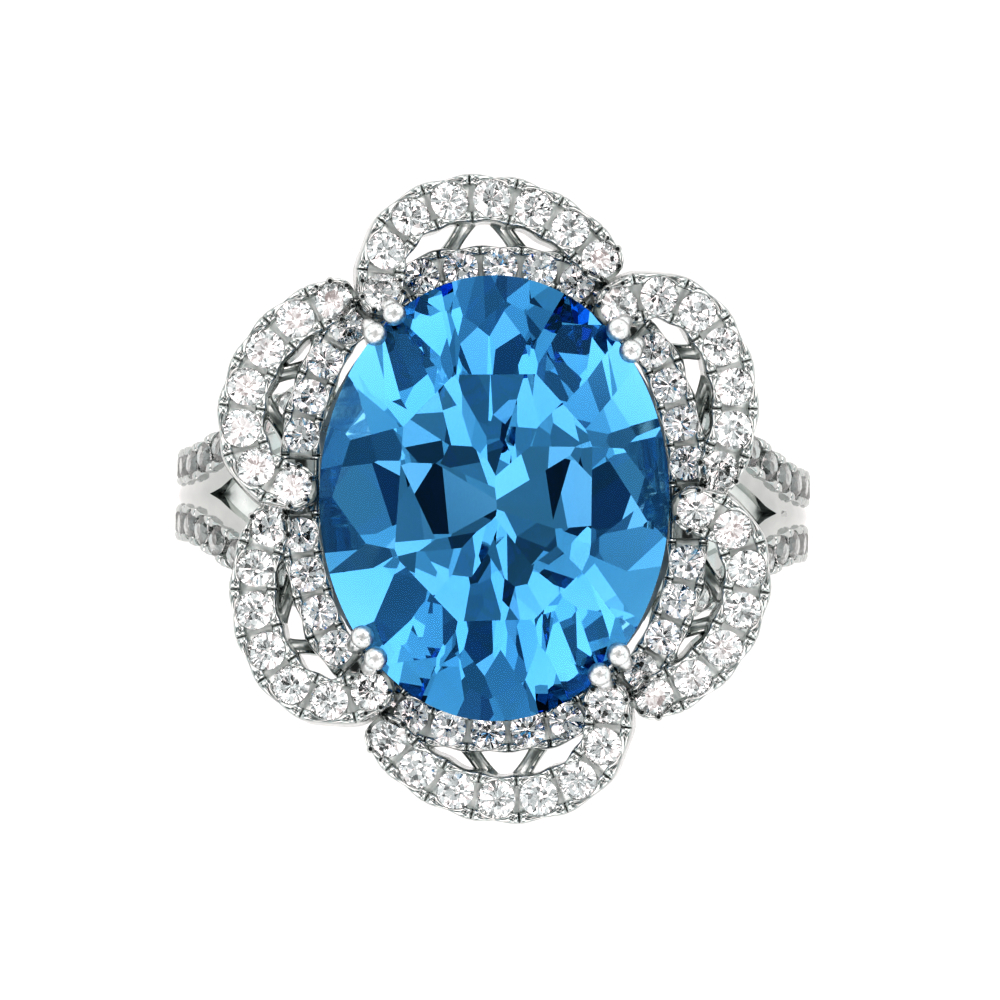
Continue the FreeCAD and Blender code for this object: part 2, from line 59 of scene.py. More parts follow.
# how far round from the top the rows of stones reach, and over how many degrees the hoop then
# turns plain
ROWS_END, ROWS_BLEND = 90.0, 10.0
# the height from which the shoulders split, and each arm's angle to the middle
SPLIT_LEVEL, SPLIT_ANGLE = 4.6, math.radians(29)

# edges sharper than this many degrees stay crisp
CRISP, CRISP_ON_CLAWS = 38, 50


# ---------------------------------------------------------------------------------------- materials


def new_material(name):
    material = bpy.data.materials.new(name)
    material.use_nodes = True
    tree = material.node_tree
    return material, tree, tree.nodes["Principled BSDF"]


def noise(tree, scale, detail=3.0):
    """Noise over the object, from 0 to 1. Its scale is in grains a metre."""
    place = tree.nodes.new("ShaderNodeTexCoord")
    grain = tree.nodes.new("ShaderNodeTexNoise")
    grain.inputs["Scale"].default_value = scale
    grain.inputs["Detail"].default_value = detail
    tree.links.new(place.outputs["Object"], grain.inputs["Vector"])
    return grain.outputs["Fac"]


def between(tree, factor, low, high):
    """A factor of 0 to 1, spread from low to high."""
    spread = tree.nodes.new("ShaderNodeMapRange")
    spread.inputs["To Min"].default_value = low
    spread.inputs["To Max"].default_value = high
    tree.links.new(factor, spread.inputs["Value"])
    return spread.outputs["Result"]


def tint(tree, factor, first, second):
    """A soft change from one shade to another over the middle of a factor."""
    ramp = tree.nodes.new("ShaderNodeValToRGB")
    ramp.color_ramp.elements[0].position = 0.35
    ramp.color_ramp.elements[0].color = (*first, 1)
    ramp.color_ramp.elements[1].position = 0.65
    ramp.color_ramp.elements[1].color = (*second, 1)
    tree.links.new(factor, ramp.inputs["Fac"])
    return ramp.outputs["Color"]


def metal(name, first, second, roughness, wave):
    """Polished white metal: faint cloudiness in its colour and polish, and a slight unevenness."""
    material, tree, shader = new_material(name)
    shader.inputs["Metallic"].default_value = 1.0
    tree.links.new(tint(tree, noise(tree, 900), first, second), shader.inputs["Base Color"])
    rough = between(tree, noise(tree, 2500, 5.0), roughness * 0.6, roughness * 1.5)
    tree.links.new(rough, shader.inputs["Roughness"])
    bump = tree.nodes.new("ShaderNodeBump")
    bump.inputs["Strength"].default_value = wave
    bump.inputs["Distance"].default_value = 0.02 * MM
    tree.links.new(noise(tree, 3500), bump.inputs["Height"])
    tree.links.new(bump.outputs["Normal"], shader.inputs["Normal"])
    return material


def gem(name, first, second, ior, depth_colour=None, density=0.0, sheen_colour=None):
    """A clear stone. One with a depth colour is tinted along the light's path inside it."""
    material, tree, shader = new_material(name)
    shader.inputs["Roughness"].default_value = 0.0
    shader.inputs["Transmission Weight"].default_value = 1.0
    shader.inputs["IOR"].default_value = ior
    tree.links.new(tint(tree, noise(tree, 400), first, second), shader.inputs["Base Color"])
    if depth_colour:
        absorption = tree.nodes.new("ShaderNodeVolumeAbsorption")
        absorption.inputs["Color"].default_value = (*depth_colour, 1)
        absorption.inputs["Density"].default_value = density
        tree.links.new(absorption.outputs["Volume"], tree.nodes["Material Output"].inputs["Volume"])
    if sheen_colour:
        shader.inputs["Specular Tint"].default_value = (*sheen_colour, 1)
    return material


# names, two shades, and for metal its roughness and wave, for stone its refraction
WHITE_METAL = metal("rhodium_white_metal", (0.48, 0.503, 0.495), (0.55, 0.571, 0.561), 0.08, 0.15)
AS_CAST = metal("as_cast_white_metal", (0.6, 0.635, 0.62), (0.76, 0.8, 0.785), 0.3, 0.8)
BURNISHED = metal("burnished_white_metal", (0.74, 0.76, 0.755), (0.82, 0.84, 0.835), 0.3, 0.1)
CLEAR_STONE = gem("white_brilliant", (0.93, 0.93, 0.935), (0.97, 0.97, 0.975), 2.42)
BLUE_STONE = gem(
    "blue_topaz",
    (0.8, 0.79, 0.73),
    (0.83, 0.82, 0.76),
    1.76,
    depth_colour=(0.03, 0.59, 0.88),
    density=165.0,
    sheen_colour=(0.05, 0.35, 0.8),
)


# ------------------------------------------------------------------------------------ making pieces


def add_piece(name, shape, material, replaced, smooth=None):
    """A piece on the ring's one body, in place of the CAD nodes named.

    A shape is its vertices in millimetres, its faces and, where part of it is left as cast, a mark
    for each face. Edges sharper than smooth degrees stay crisp.
    """
    verts, faces, *marks = shape
    mesh = bpy.data.meshes.new(name)
    mesh.from_pydata([Vector(v) * MM for v in verts], [], faces)
    if marks:
        mesh.polygons.foreach_set("material_index", marks[0])
    merged = bmesh.new()
    merged.from_mesh(mesh)
    bmesh.ops.remove_doubles(merged, verts=merged.verts, dist=0.002 * MM)
    bmesh.ops.recalc_face_normals(merged, faces=merged.faces)
    merged.to_mesh(mesh)
    merged.free()
    mesh.materials.append(material)
    if marks:
        mesh.materials.append(AS_CAST)
    piece = bpy.data.objects.new(name, mesh)
    bpy.context.scene.collection.objects.link(piece)
    if smooth:
        mesh.shade_smooth()
        mesh.set_sharp_from_angle(angle=math.radians(smooth))
    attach(piece, "root")
    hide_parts(*replaced)


def around(sides):
    """Evenly spaced angles round a circle."""
    return [2 * math.pi * side / sides for side in range(sides)]


def loft(rings, closed=False):
    """A skin over a row of rings that have the same number of points, with its two ends capped."""
    count = len(rings[0])
    verts = [point for ring in rings for point in ring]
    faces = []
    spans = len(rings) if closed else len(rings) - 1
    for row in range(spans):
        here, there = row * count, (row + 1) % len(rings) * count
        for column in range(count):
            beside = (column + 1) % count
            faces.append((here + column, here + beside, there + beside, there + column))
    if not closed:
        faces.append(tuple(range(count)))
        faces.append(tuple(range(len(verts) - count, len(verts))))
    return verts, faces


# ----------------------------------------------------------------------------------- faceted stones


def rough_stone(wide, long, low, high, sides):
    """An upright oval prism, ready to be cut."""
    rings = [
        [(wide * math.cos(turn), long * math.sin(turn), level) for turn in around(sides)]
        for level in (low, high)
    ]
    verts, faces = loft(rings)
    solid = bmesh.new()
    corners = [solid.verts.new(v) for v in verts]
    for face in faces:
        solid.faces.new([corners[index] for index in face])
    return solid


def trim(solid, foot, normal):
    """Grinds away what lies beyond a plane, and leaves a facet there."""
    everything = solid.verts[:] + solid.edges[:] + solid.faces[:]
    bmesh.ops.bisect_plane(solid, geom=everything, plane_co=foot, plane_no=normal, clear_outer=True)
    rim = [edge for edge in solid.edges if edge.is_boundary]
    if rim:
        bmesh.ops.edgeloop_fill(solid, edges=rim)


def shape_of(solid):
    """A finished stone's vertices and faces."""
    bmesh.ops.remove_doubles(solid, verts=solid.verts, dist=1e-4)
    bmesh.ops.recalc_face_normals(solid, faces=solid.faces)
    solid.verts.index_update()
    verts = [tuple(v.co) for v in solid.verts]
    faces = [tuple(v.index for v in f.verts) for f in solid.faces]
    solid.free()
    return verts, faces


def ground_stone(mains, table):
    """A round brilliant of unit radius, its facets a little out of true.

    It has as many main facets on its crown as on its pavilion. The steepness of each kind of facet
    is how much of the radius it loses for each unit of height.
    """
    crown, pavilion, girdle, meets, sides, seed = 0.32, 0.88, 0.04, (0.5, 0.8), 40, mains
    hand = random.Random(seed)
    rim, step = girdle / 2, math.pi / mains
    ridge, near = math.cos(step), math.cos(step / 2)
    crown_meet, pavilion_meet = meets
    main, under = (1 - table) / (crown - rim), 1 / (pavilion - rim)
    over, below = crown_meet * (crown - rim), pavilion_meet * (pavilion - rim)
    upper = (1 - near / ridge * (1 - main * over)) / over
    lower = (1 - near / ridge * (1 - pavilion_meet)) / below
    star = ((1 - main * over) / ridge - table * ridge) / (crown - rim - over)
    solid = rough_stone(1, 1, -pavilion, crown, sides)

    def cut(azimuth, steepness, reach):
        """Grinds the facet where distance * cos(angle - azimuth) + steepness * height = reach."""
        azimuth += hand.gauss(0, AZIMUTH_SLIP)
        reach += hand.gauss(0, REACH_SLIP)
        normal = Vector((math.cos(azimuth), math.sin(azimuth), steepness))
        trim(solid, normal * (reach / normal.length_squared), normal)

    for number in range(mains):
        azimuth = 2 * step * number
        cut(azimuth, main, 1 + main * rim)
        cut(azimuth + step, star, table * ridge + star * crown)
        cut(azimuth, -under, 1 + under * rim)
        for half in (azimuth + step / 2, azimuth - step / 2):
            cut(half, upper, 1 + upper * rim)
            cut(half, -lower, 1 + lower * rim)
    return shape_of(solid)


# how far a cutter's hand slips: in angle and reach on an accent stone, and on the centre stone as a
# share of a facet's step and of the stone's half width
AZIMUTH_SLIP, REACH_SLIP = 0.03, 0.014
STEP_SLIP, EDGE_SLIP = 0.035, 0.008


def rows_of_facets(rows):
    """Facets as (azimuth, first mark, second mark), each a little out of true."""
    hand = random.Random(7)
    facets = []
    for count, offset, start, end in rows:
        for number in range(count):
            slip = hand.gauss(0, EDGE_SLIP)
            azimuth = 2 * math.pi * (number + offset + hand.gauss(0, STEP_SLIP)) / count
            facets.append((azimuth, (start[0], start[1] - 0.3 * slip), (end[0], end[1] + slip)))
    return facets


def oval_stone(wide, long, keel, girdle, crown, pavilion, sides=144):
    """An oval stone whose pavilion ends in a keel along Y."""
    highest = max(end[0] for _, _, end in crown)
    deepest = max(end[0] for _, _, end in pavilion)
    solid = rough_stone(wide, long, -girdle / 2 - deepest * 1.1, girdle / 2 + highest, sides)
    for way, facets, ridge in ((1, crown, 0.0), (-1, pavilion, keel)):
        for azimuth, (low, wider), (high, nearer) in facets:
            # how far the oval reaches that way, with the keel's share taken off
            middle = ridge * abs(math.sin(azimuth))
            full = math.hypot(wide * math.cos(azimuth), long * math.sin(azimuth)) - middle
            near, far = middle + full * nearer, middle + full * wider
            across = Vector((math.cos(azimuth), math.sin(azimuth), 0))
            steep = (far - near) / (high - low)
            normal = across + Vector((0, 0, way * steep))
            foot = across * far + Vector((0, 0, way * (low + girdle / 2)))
            trim(solid, foot, normal)
    return shape_of(solid)


def placed(shape, matrix):
    verts, faces = shape
    return [tuple(matrix @ Vector(v)) for v in verts], faces


def joined(shapes):
    """One shape of several, with marks if any of them has."""
    verts, faces, marks = [], [], []
    for more, their_faces, *their_marks in shapes:
        faces += [tuple(index + len(verts) for index in face) for face in their_faces]
        marks += their_marks[0] if their_marks else [0] * len(their_faces)
        verts += more
    return (verts, faces, marks) if any(marks) else (verts, faces)


# ---------------------------------------------------------------------- where the accent stones are


def islands(node):
    """The separate solids of a CAD node, each as an array of its points in millimetres."""
    mesh = nodes[node].data
    # vertices at the same place, to a thousandth of a millimetre, are one point
    keys, parent, numbers, spots = {}, [], [], []
    for vertex in mesh.vertices:
        key = tuple(round(c * 1e6) for c in vertex.co)
        if key not in keys:
            keys[key] = len(parent)
            parent.append(len(parent))
            spots.append(np.array(vertex.co) / MM)
        numbers.append(keys[key])

    def root(item):
        while parent[item] != item:
            parent[item] = parent[parent[item]]
            item = parent[item]
        return item

    for polygon in mesh.polygons:
        first = root(numbers[polygon.vertices[0]])
        for index in polygon.vertices[1:]:
            parent[root(numbers[index])] = first
    groups = {}
    for number, spot in enumerate(spots):
        groups.setdefault(root(number), []).append(spot)
    return [np.array(group) for group in groups.values()]


def stone_place(points):
    """The centre of a round stone's girdle, its axis towards the table, and its radius."""
    middle = points.mean(axis=0)
    _, vectors = np.linalg.eigh(np.cov((points - middle).T))
    axis = vectors[:, 0]
    along = (points - middle) @ axis
    aside = np.linalg.norm(points - middle - np.outer(along, axis), axis=1)
    rim = aside > aside.max() - 0.01
    level = along[rim].mean()
    if along.max() - level > level - along.min():
        axis = -axis
    return Vector(points[rim].mean(axis=0)), Vector(axis), float(aside.max())


def stones_in_order(node):
    """A node's stones from one end of their row to the other."""
    places = [stone_place(points) for points in islands(node)]
    spread = [sum((a[0] - b[0]).length for b in places) for a in places]
    row = [places.pop(spread.index(max(spread)))]
    while places:
        gaps = [(place[0] - row[-1][0]).length for place in places]
        row.append(places.pop(gaps.index(min(gaps))))
    return row


# how far the stones lie out of level in their seats, as a spread in radians
TILT = 0.03


def set_in_row(name, row, seed):
    """One mesh of all the stones in a row, each turned and tilted as the setter left it."""
    turns = random.Random(seed)
    shapes = []
    for centre, axis, radius in row:
        spin = Matrix.Rotation(turns.uniform(0, 2 * math.pi), 4, "Z")
        slant = Vector((turns.gauss(0, TILT), turns.gauss(0, TILT), 0))
        lean = (axis + slant).to_track_quat("Z", "Y").to_matrix().to_4x4()
        place = Matrix.Translation(centre) @ lean @ Matrix.Scale(radius, 4) @ spin
        shapes.append(placed(turns.choice(BRILLIANTS), place))
    add_piece("cut_" + name, joined(shapes), CLEAR_STONE, [name])


# --------------------------------------------------------------------------- bands that hold stones


class Line:
    """A smooth line through a row of stones, which goes on past both ends."""

    def __init__(self, row, closed=False, fine=24):
        points = [Vector(centre) for centre, _, _ in row]
        ups = [Vector(axis) for _, axis, _ in row]
        if closed:
            points = [points[-1]] + points + points[:2]
            ups = [ups[-1]] + ups + ups[:2]
        else:
            before = 3 * points[0] - 3 * points[1] + points[2]
            after = 3 * points[-1] - 3 * points[-2] + points[-3]
            points = [before] + points + [after]
            ups = [2 * ups[0] - ups[1]] + ups + [2 * ups[-1] - ups[-2]]
        self.points, self.ups, knots = [], [], [0]
        for number in range(1, len(points) - 2):
            four = points[number - 1 : number + 3]
            for part in range(fine):
                share = part / fine
                self.points.append(self.curve(four, share))
                self.ups.append(ups[number].lerp(ups[number + 1], share).normalized())
            knots.append(number * fine)
        last_point, last_up = (self.points[0], self.ups[0]) if closed else (points[-2], ups[-2])
        self.points.append(last_point.copy())
        self.ups.append(last_up.copy())
        self.lengths = [0.0]
        for a, b in zip(self.points, self.points[1:]):
            self.lengths.append(self.lengths[-1] + (b - a).length)
        # the stones' distances along the line
        self.stones = [self.lengths[knot] for knot in knots]
        if closed:
            self.stones.pop()
        self.closed = closed

    @staticmethod
    def curve(four, t):
        """A point on the Catmull-Rom curve between the second and the third of four."""
        a, b, c, d = four
        squared, cubed = 2 * a - 5 * b + 4 * c - d, 3 * b - a - 3 * c + d
        return 0.5 * (2 * b + (c - a) * t + squared * t * t + cubed * t**3)

    @property
    def length(self):
        return self.lengths[-1]

    def at(self, distance):
        """The point, the direction across and the direction up at a distance along."""
        if self.closed:
            distance %= self.length
        inside = min(max(distance, 0.0), self.length)
        index, share = self.locate(inside)
        ahead = self.heading(inside)
        point = self.points[index].lerp(self.points[index + 1], share) + ahead * (distance - inside)
        up = self.ups[index].lerp(self.ups[index + 1], share).normalized()
        across = ahead.cross(up).normalized()
        return point, across, up

    def heading(self, distance):
        step = 0.05
        low, high = max(distance - step, 0.0), min(distance + step, self.length)
        if self.closed:
            low, high = distance - step, distance + step
        return (self.spot(high) - self.spot(low)).normalized()

    def spot(self, distance):
        if self.closed:
            distance %= self.length
        index, share = self.locate(distance)
        return self.points[index].lerp(self.points[index + 1], share)

    def locate(self, distance):
        """The number of the short straight run at a distance, and how far along it that is."""
        found = int(np.searchsorted(self.lengths, distance)) - 1
        index = min(max(found, 0), len(self.points) - 2)
        start, end = self.lengths[index : index + 2]
        return index, (distance - start) / max(end - start, 1e-9)


# the stones' pitch for each millimetre of their radius, and half a notch's width as a share of it
PITCH = 2.24
NOTCH = 0.018
# where the section changes on both sides of a gap, as shares of the pitch
STATIONS = (0, NOTCH, 0.05, 0.08, 0.12, 0.17, 0.22, 0.28, 0.34, 0.40, 0.45)
# the columns of a band's faces that make up its seats
SEAT_COLUMNS = range(10, 16)


class Band:
    """A rail set with stones, cut down between them, with a pair of prongs on each side of a gap.

    The radius is the stones', half is half the rail's width, runs are the runs of stones as
    distances along the line, and ends are how far the rail goes on past the line's two ends.
    """

    def __init__(self, line, radius, half, height, runs, ends=(0.0, 0.0)):
        self.line, self.radius, self.half, self.height = line, radius, half, height
        self.runs, self.ends = runs, ends
        self.gaps = []
        self.pitch = PITCH * radius
        for run in runs:
            for a, b in zip(run, run[1:]):
                self.gaps.append((a + b) / 2)
            self.gaps.append(run[0] - self.pitch / 2)
            self.gaps.append(run[-1] + self.pitch / 2)
        self.gaps.sort()

    def nearest(self, spots, distance):
        """How far a distance is past the nearest of some spots."""
        best = min(spots, key=lambda spot: abs(self.apart(spot, distance)))
        return self.apart(best, distance)

    def apart(self, spot, distance):
        offset = distance - spot
        if self.line.closed:
            offset = (offset + self.line.length / 2) % self.line.length - self.line.length / 2
        return offset

    def stations(self):
        """Distances along the line where the section changes."""
        low, high = -self.ends[0], self.line.length + self.ends[1]
        marks = set()
        for gap in self.gaps:
            for share in STATIONS:
                marks.update((gap - share * self.pitch, gap + share * self.pitch))
        for run in self.runs:
            marks.update(run)
        if self.line.closed:
            marks = {mark % self.line.length for mark in marks}
            marks.update(self.line.length * part / 150 for part in range(150))
        else:
            for turn in range(0, 91, 10):
                inset = self.half * (1 - math.cos(math.radians(turn)))
                marks.update((low + inset, high - inset))
            marks.update(low + (high - low) * part / 60 for part in range(61))
            marks = {mark for mark in marks if low <= mark <= high}
        kept = []
        for mark in sorted(marks):
            if not kept or mark - kept[-1] > 0.01:
                kept.append(mark)
        return kept

    def around_stones(self, distance):
        """How far a stone is, how far a gap is as a share of the pitch, and if it is set there."""
        stones = [spot for run in self.runs for spot in run]
        from_stone = abs(self.nearest(stones, distance))
        share = abs(self.nearest(self.gaps, distance)) / self.pitch
        return from_stone, share, from_stone < self.pitch * 0.5 or share < 0.08

    def section(self, distance):
        """The outline across the band: (aside, up) from the stones' girdle plane."""
        from_stone, share, set_here = self.around_stones(distance)
        outside = self.half
        if set_here:
            outside *= 0.95 + 0.11 * math.cos(math.pi * min(share, 0.5)) ** 2
        if not self.line.closed:
            end_gap = min(distance + self.ends[0], self.line.length + self.ends[1] - distance)
            if end_gap < self.half:
                outside *= max(math.sqrt(max(1 - (1 - end_gap / self.half) ** 2, 0.0)), 0.02)
        chord = math.sqrt(max(self.radius**2 - from_stone**2, 0.0))
        inside = min(max(0.58 * self.half, chord), outside * 0.95)
        if share < NOTCH * 0.5:
            rim = -0.05
        else:
            rim = -0.01 + 0.15 * math.sin(math.pi * min(share / 0.5, 1.0) ** 0.6) ** 0.8
        floor = -0.24 - 0.08 * math.cos(math.pi * min(share / 0.3, 0.5))
        bowl = -0.3 - 0.35 * self.radius
        if not set_here:
            rim, floor, bowl, inside = 0.0, -0.02, -0.02, outside * 0.72
        deep = floor
        if set_here and from_stone < self.radius:
            deep = bowl + (floor - bowl) * from_stone / self.radius
        middle, reach = (outside + inside) / 2, (outside - inside) / 2
        # the flank from below, the rounded rim over the prongs, and the seat
        points = [(outside * 0.98, -self.height), (outside + 0.03, -self.height + 0.06)]
        points.append((outside + 0.03, rim - 0.42 * reach - 0.22))
        points.append((outside + 0.012, rim - 0.42 * reach - 0.04))
        for turn in range(0, 181, 30):
            across, lift = math.cos(math.radians(turn)), math.sin(math.radians(turn))
            points.append((middle + reach * across, rim - 0.45 * reach * (1 - lift)))
        shelf = min(floor, rim - 0.45 * reach - 0.02)
        points += [(inside * 0.98, shelf), (inside * 0.5, (shelf + deep) / 2)]
        return points + [(0.0, deep)] + [(-aside, up) for aside, up in reversed(points)]

    def shape(self):
        """The band's mesh. The seats between the rims are left as cast."""
        rings, marks = [], []
        for distance in self.stations():
            point, across, up = self.line.at(distance)
            section = self.section(distance)
            rings.append([point + across * aside + up * rise for aside, rise in section])
            set_here = self.around_stones(distance)[2]
            marks += [int(set_here and column in SEAT_COLUMNS) for column in range(len(rings[-1]))]
        verts, faces = loft(rings, self.line.closed)
        return verts, faces, marks[: len(faces)]


# ----------------------------------------------------------------------------------------- the ring


# the accent stones' patterns: main facets and the table's share of the width
CUTS = ((8, 0.53), (9, 0.55), (10, 0.53), (10, 0.57), (11, 0.55))
BRILLIANTS = [ground_stone(mains, table) for mains, table in CUTS]

# beads round a row's end stone, as shares of its radius: how far past it and how far aside
BEADS = ((0.87, 0.6), (0.87, -0.6), (0.1, 1.08), (0.1, -1.08), (-0.62, 1.0), (-0.62, -1.0))
BEAD_RADIUS, BEAD_LEVEL = 0.13, 0.02


def end_beads(line, radius):
    """Small beads that hold the first and the last stone of a row."""
    beads = []
    for spot, way in ((0, -1), (line.length, 1)):
        for along, aside in BEADS:
            point, across, up = line.at(spot + way * along * radius)
            beads.append(ball(point + across * aside * radius + up * BEAD_LEVEL, BEAD_RADIUS, 12))
    return beads


# half the width and the height of the petals', the halo's and the shoulders' bands
PETAL_BAND, HALO_BAND, SHOULDER_BAND = (0.72, 1.05), (0.6, 1.05), (0.56, 0.9)


def make_petals():
    for seed, name in enumerate(PETALS):
        row = stones_in_order("petal_stones_" + name)
        set_in_row("petal_stones_" + name, row, seed)
        line, radius = Line(row), row[0][2]
        band = Band(line, radius, *PETAL_BAND, [line.stones], ends=(0.72, 0.72))
        shape = joined([band.shape()] + end_beads(line, radius))
        replaced = ["petal_" + name]
        add_piece("band_of_petal_" + name, shape, WHITE_METAL, replaced, CRISP)


def make_halo():
    rows = {}
    for seed, name in enumerate(PETALS):
        rows[name] = stones_in_order("halo_stones_" + name)
        set_in_row("halo_stones_" + name, rows[name], 20 + seed)
    # all of them in one ring, by their direction from the middle
    ring = [(place, name) for name, row in rows.items() for place in row]
    ring.sort(key=lambda item: math.atan2(item[0][0].y, item[0][0].x))
    line = Line([place for place, _ in ring], closed=True)
    runs = {}
    for spot, (_, name) in zip(line.stones, ring):
        runs.setdefault(name, []).append(spot)
    for name, run in runs.items():
        # a run that lies across the line's start is put in order
        half_way = line.length / 2
        if max(run) - min(run) > half_way:
            runs[name] = sorted(spot if spot > half_way else spot + line.length for spot in run)
    first_place, _ = ring[0]
    band = Band(line, first_place[2], *HALO_BAND, list(runs.values()))
    add_piece("band_of_halo", band.shape(), WHITE_METAL, ["halo_rail"], CRISP)


def hoop_half_width(level):
    """Half the hoop's width at a height, as in the CAD hoop: a taper, an arc and its tangent."""
    bottom, flare, top, radius = -HOOP_RADIUS, 1.8, 5.8, 9.1
    at_bottom, widening, at_flare = 1.1, 0.4, 1.5
    if level < flare:
        return at_bottom + widening * (level - bottom) / (flare - bottom)
    climb = min(level, top) - flare
    run = math.sqrt(radius**2 - climb**2)
    return at_flare + radius - run + max(0.0, level - top) * climb / run


def split_half_width(level):
    """Half the width of the opening between a shoulder's arms at a height."""
    return max(0.0, (level - SPLIT_LEVEL) * math.tan(SPLIT_ANGLE))


def hoop_half(way):
    """One side of the hoop, from the end of one arm round under the finger to the other."""
    rings, parts = [], 240
    for part in range(parts + 1):
        turn = ARM_END + (360 - 2 * ARM_END) * part / parts
        angle = math.radians(turn)
        from_top = min(turn, 360 - turn)
        out = Vector((math.sin(angle), 0, math.cos(angle)))
        # nothing where the stones are, one where the hoop is plain
        plain = min(max((from_top - ROWS_END) / ROWS_BLEND, 0.0), 1.0)
        plain = plain * plain * (3 - 2 * plain)
        # the bands of stones stand proud of the hoop by this much on top and on its sides
        proud, aside_proud = 0.14 * (1 - plain), 0.06 * (1 - plain)
        radius = HOOP_RADIUS - proud
        if from_top < 60:
            radius = min(radius, ARM_TOP / out.z)
        near = split_half_width(radius * out.z)
        far = hoop_half_width(radius * out.z) - aside_proud
        section = []
        for share in (0, 0.1, 0.2, 0.3, 0.4, 0.55, 0.75, 0.88, 0.95, 1):
            aside = near + (far - near) * share
            # a low ridge between the rows where the arms are one, and rounded outer edges
            ridge = math.cos(min(aside / 0.62, 1) * math.pi / 2) ** 2
            dome = 0.18 * (1 - plain) * ridge * max(1 - near / 0.2, 0)
            fall = (0.12 + 0.18 * plain) * share**6 + 0.06 * plain * share**2
            section.append((aside, radius + dome - fall))
        low = BORE_RADIUS
        low_near = split_half_width(low * out.z)
        low_far = hoop_half_width(low * out.z) - aside_proud
        section += [(far, radius - 0.5), (low_far, low + 0.16)]
        section += [(low_far - 0.04, low + 0.05), (low_far - 0.15, low)]
        section += [(low_near + 0.06 * min(low_near, 1), low), (low_near, low + 0.06)]
        for rise in (0.3, 0.6, 0.85):
            level = low + (radius - low) * rise
            section.append((split_half_width(level * out.z), level))
        rings.append([out * reach + Vector((0, way * aside, 0)) for aside, reach in section])
    return loft(rings)


def shoulder_floor(side):
    """The slightly hollow web between a shoulder's two arms, below their tops."""
    rings, parts = [], 30
    start, reach, thickness = 26, 40, 0.4
    for part in range(parts + 1):
        angle = math.radians(start + reach * part / parts)
        out = Vector((side * math.sin(angle), 0, math.cos(angle)))
        top = min(9.85, (ARM_TOP - 0.15) / out.z)
        # its edges go a little way into the arms
        far = split_half_width(top * out.z) + 0.12
        section = [(-far, top - thickness), (far, top - thickness), (far, top)]
        section += [(far / 2, top - 0.06), (0, top - 0.08), (-far / 2, top - 0.06), (-far, top)]
        rings.append([out * reach + Vector((0, aside, 0)) for aside, reach in section])
    verts, faces = loft(rings)
    return verts, faces, [1] * len(faces)


def make_hoop():
    shapes = [hoop_half(1), hoop_half(-1), shoulder_floor(1), shoulder_floor(-1)]
    for seed, side in enumerate(("left", "right")):
        for way in ("upper", "lower"):
            name = f"hoop_stones_{side}_{way}"
            row = stones_in_order(name)
            if row[0][0].z < row[-1][0].z:
                row.reverse()
            set_in_row(name, row, 40 + seed)
            line = Line(row)
            # the band goes on up to the head, and ends soon below the last stone
            band = Band(line, row[0][2], *SHOULDER_BAND, [line.stones], ends=(1.8, 0.6))
            shapes.append(band.shape())
    shape = joined(shapes)
    add_piece("shaped_finger_hoop", shape, WHITE_METAL, ["finger_hoop"], CRISP)


# rows of facets: how many, where they start as a share of a step, and two marks of the stone's
# profile, each a height from the girdle and a share of the half width
CROWN = (
    (24, 0.5, (0.0, 1.0), (0.6, 0.86)),
    (8, 0.5, (0.0, 1.02), (1.6, 0.60)),
    (8, 0.0, (0.7, 0.82), (1.6, 0.56)),
)
PAVILION = (
    (16, 0.25, (0.0, 1.0), (2.2, 0.60)),
    (14, 0.1, (2.0, 0.64), (3.8, 0.29)),
    (10, 0.4, (3.6, 0.33), (5.1, 0.0)),
)
KEEL, GIRDLE = 0.8, 0.1


def make_centre_stone():
    crown, pavilion = rows_of_facets(CROWN), rows_of_facets(PAVILION)
    shape = oval_stone(STONE_WIDE, STONE_LONG, KEEL, GIRDLE, crown, pavilion)
    place = Matrix.Translation((0, 0, GIRDLE_LEVEL)) @ Matrix.Rotation(HEAD_TURN, 4, "Z")
    shape = placed(shape, place)
    add_piece("faceted_centre_stone", shape, BLUE_STONE, ["centre_stone"])


# the seat rail's section as levels and shares of the way from its inner to its outer side, how far
# it stays clear of the stone, and half its width and length outside
SEAT_INSIDE = ((12.97, 0.0), (12.45, 0.0))
SEAT_OUTSIDE = ((12.45, 1.0), (12.5, 1.0), (12.97, 1.0), (13.05, 0.94), (13.05, 0.5))
SEAT_CLEARANCE = 0.2
SEAT_WIDE, SEAT_LONG = 5.15, 6.45


def make_seat():
    """The rail that the stone's pavilion bears on, its inner side sloped to match."""
    rings = []
    for azimuth in around(120):
        out = Vector((math.cos(azimuth), math.sin(azimuth)))
        section = []
        for level, share in SEAT_INSIDE + SEAT_OUTSIDE:
            drop = GIRDLE_LEVEL - level
            wide = STONE_WIDE - drop + SEAT_CLEARANCE
            long = STONE_LONG - 1.1 * drop + SEAT_CLEARANCE
            reach = Vector((wide, long)).lerp(Vector((SEAT_WIDE, SEAT_LONG)), share)
            section.append(Vector((out.x * reach.x, out.y * reach.y, level)))
        rings.append(section)
    shape = placed(loft(rings, closed=True), Matrix.Rotation(HEAD_TURN, 4, "Z"))
    add_piece("sloped_seat_rail", shape, WHITE_METAL, ["seat_rail"], CRISP)


def leg_ends(points):
    """The two ends of a straight CAD leg, the one nearer the ring's middle first."""
    middle = points.mean(axis=0)
    _, vectors = np.linalg.eigh(np.cov((points - middle).T))
    reach = (points - middle) @ vectors[:, 2]
    # each end goes a little further, into its rail
    edges = (reach.min() - 0.1, reach.max() + 0.1)
    ends = [Vector(middle + vectors[:, 2] * edge) for edge in edges]
    return sorted(ends, key=lambda end: end.xy.length)


# the columns of a strut's faces that are its web, left as cast
WEB_COLUMNS = range(5, 9)


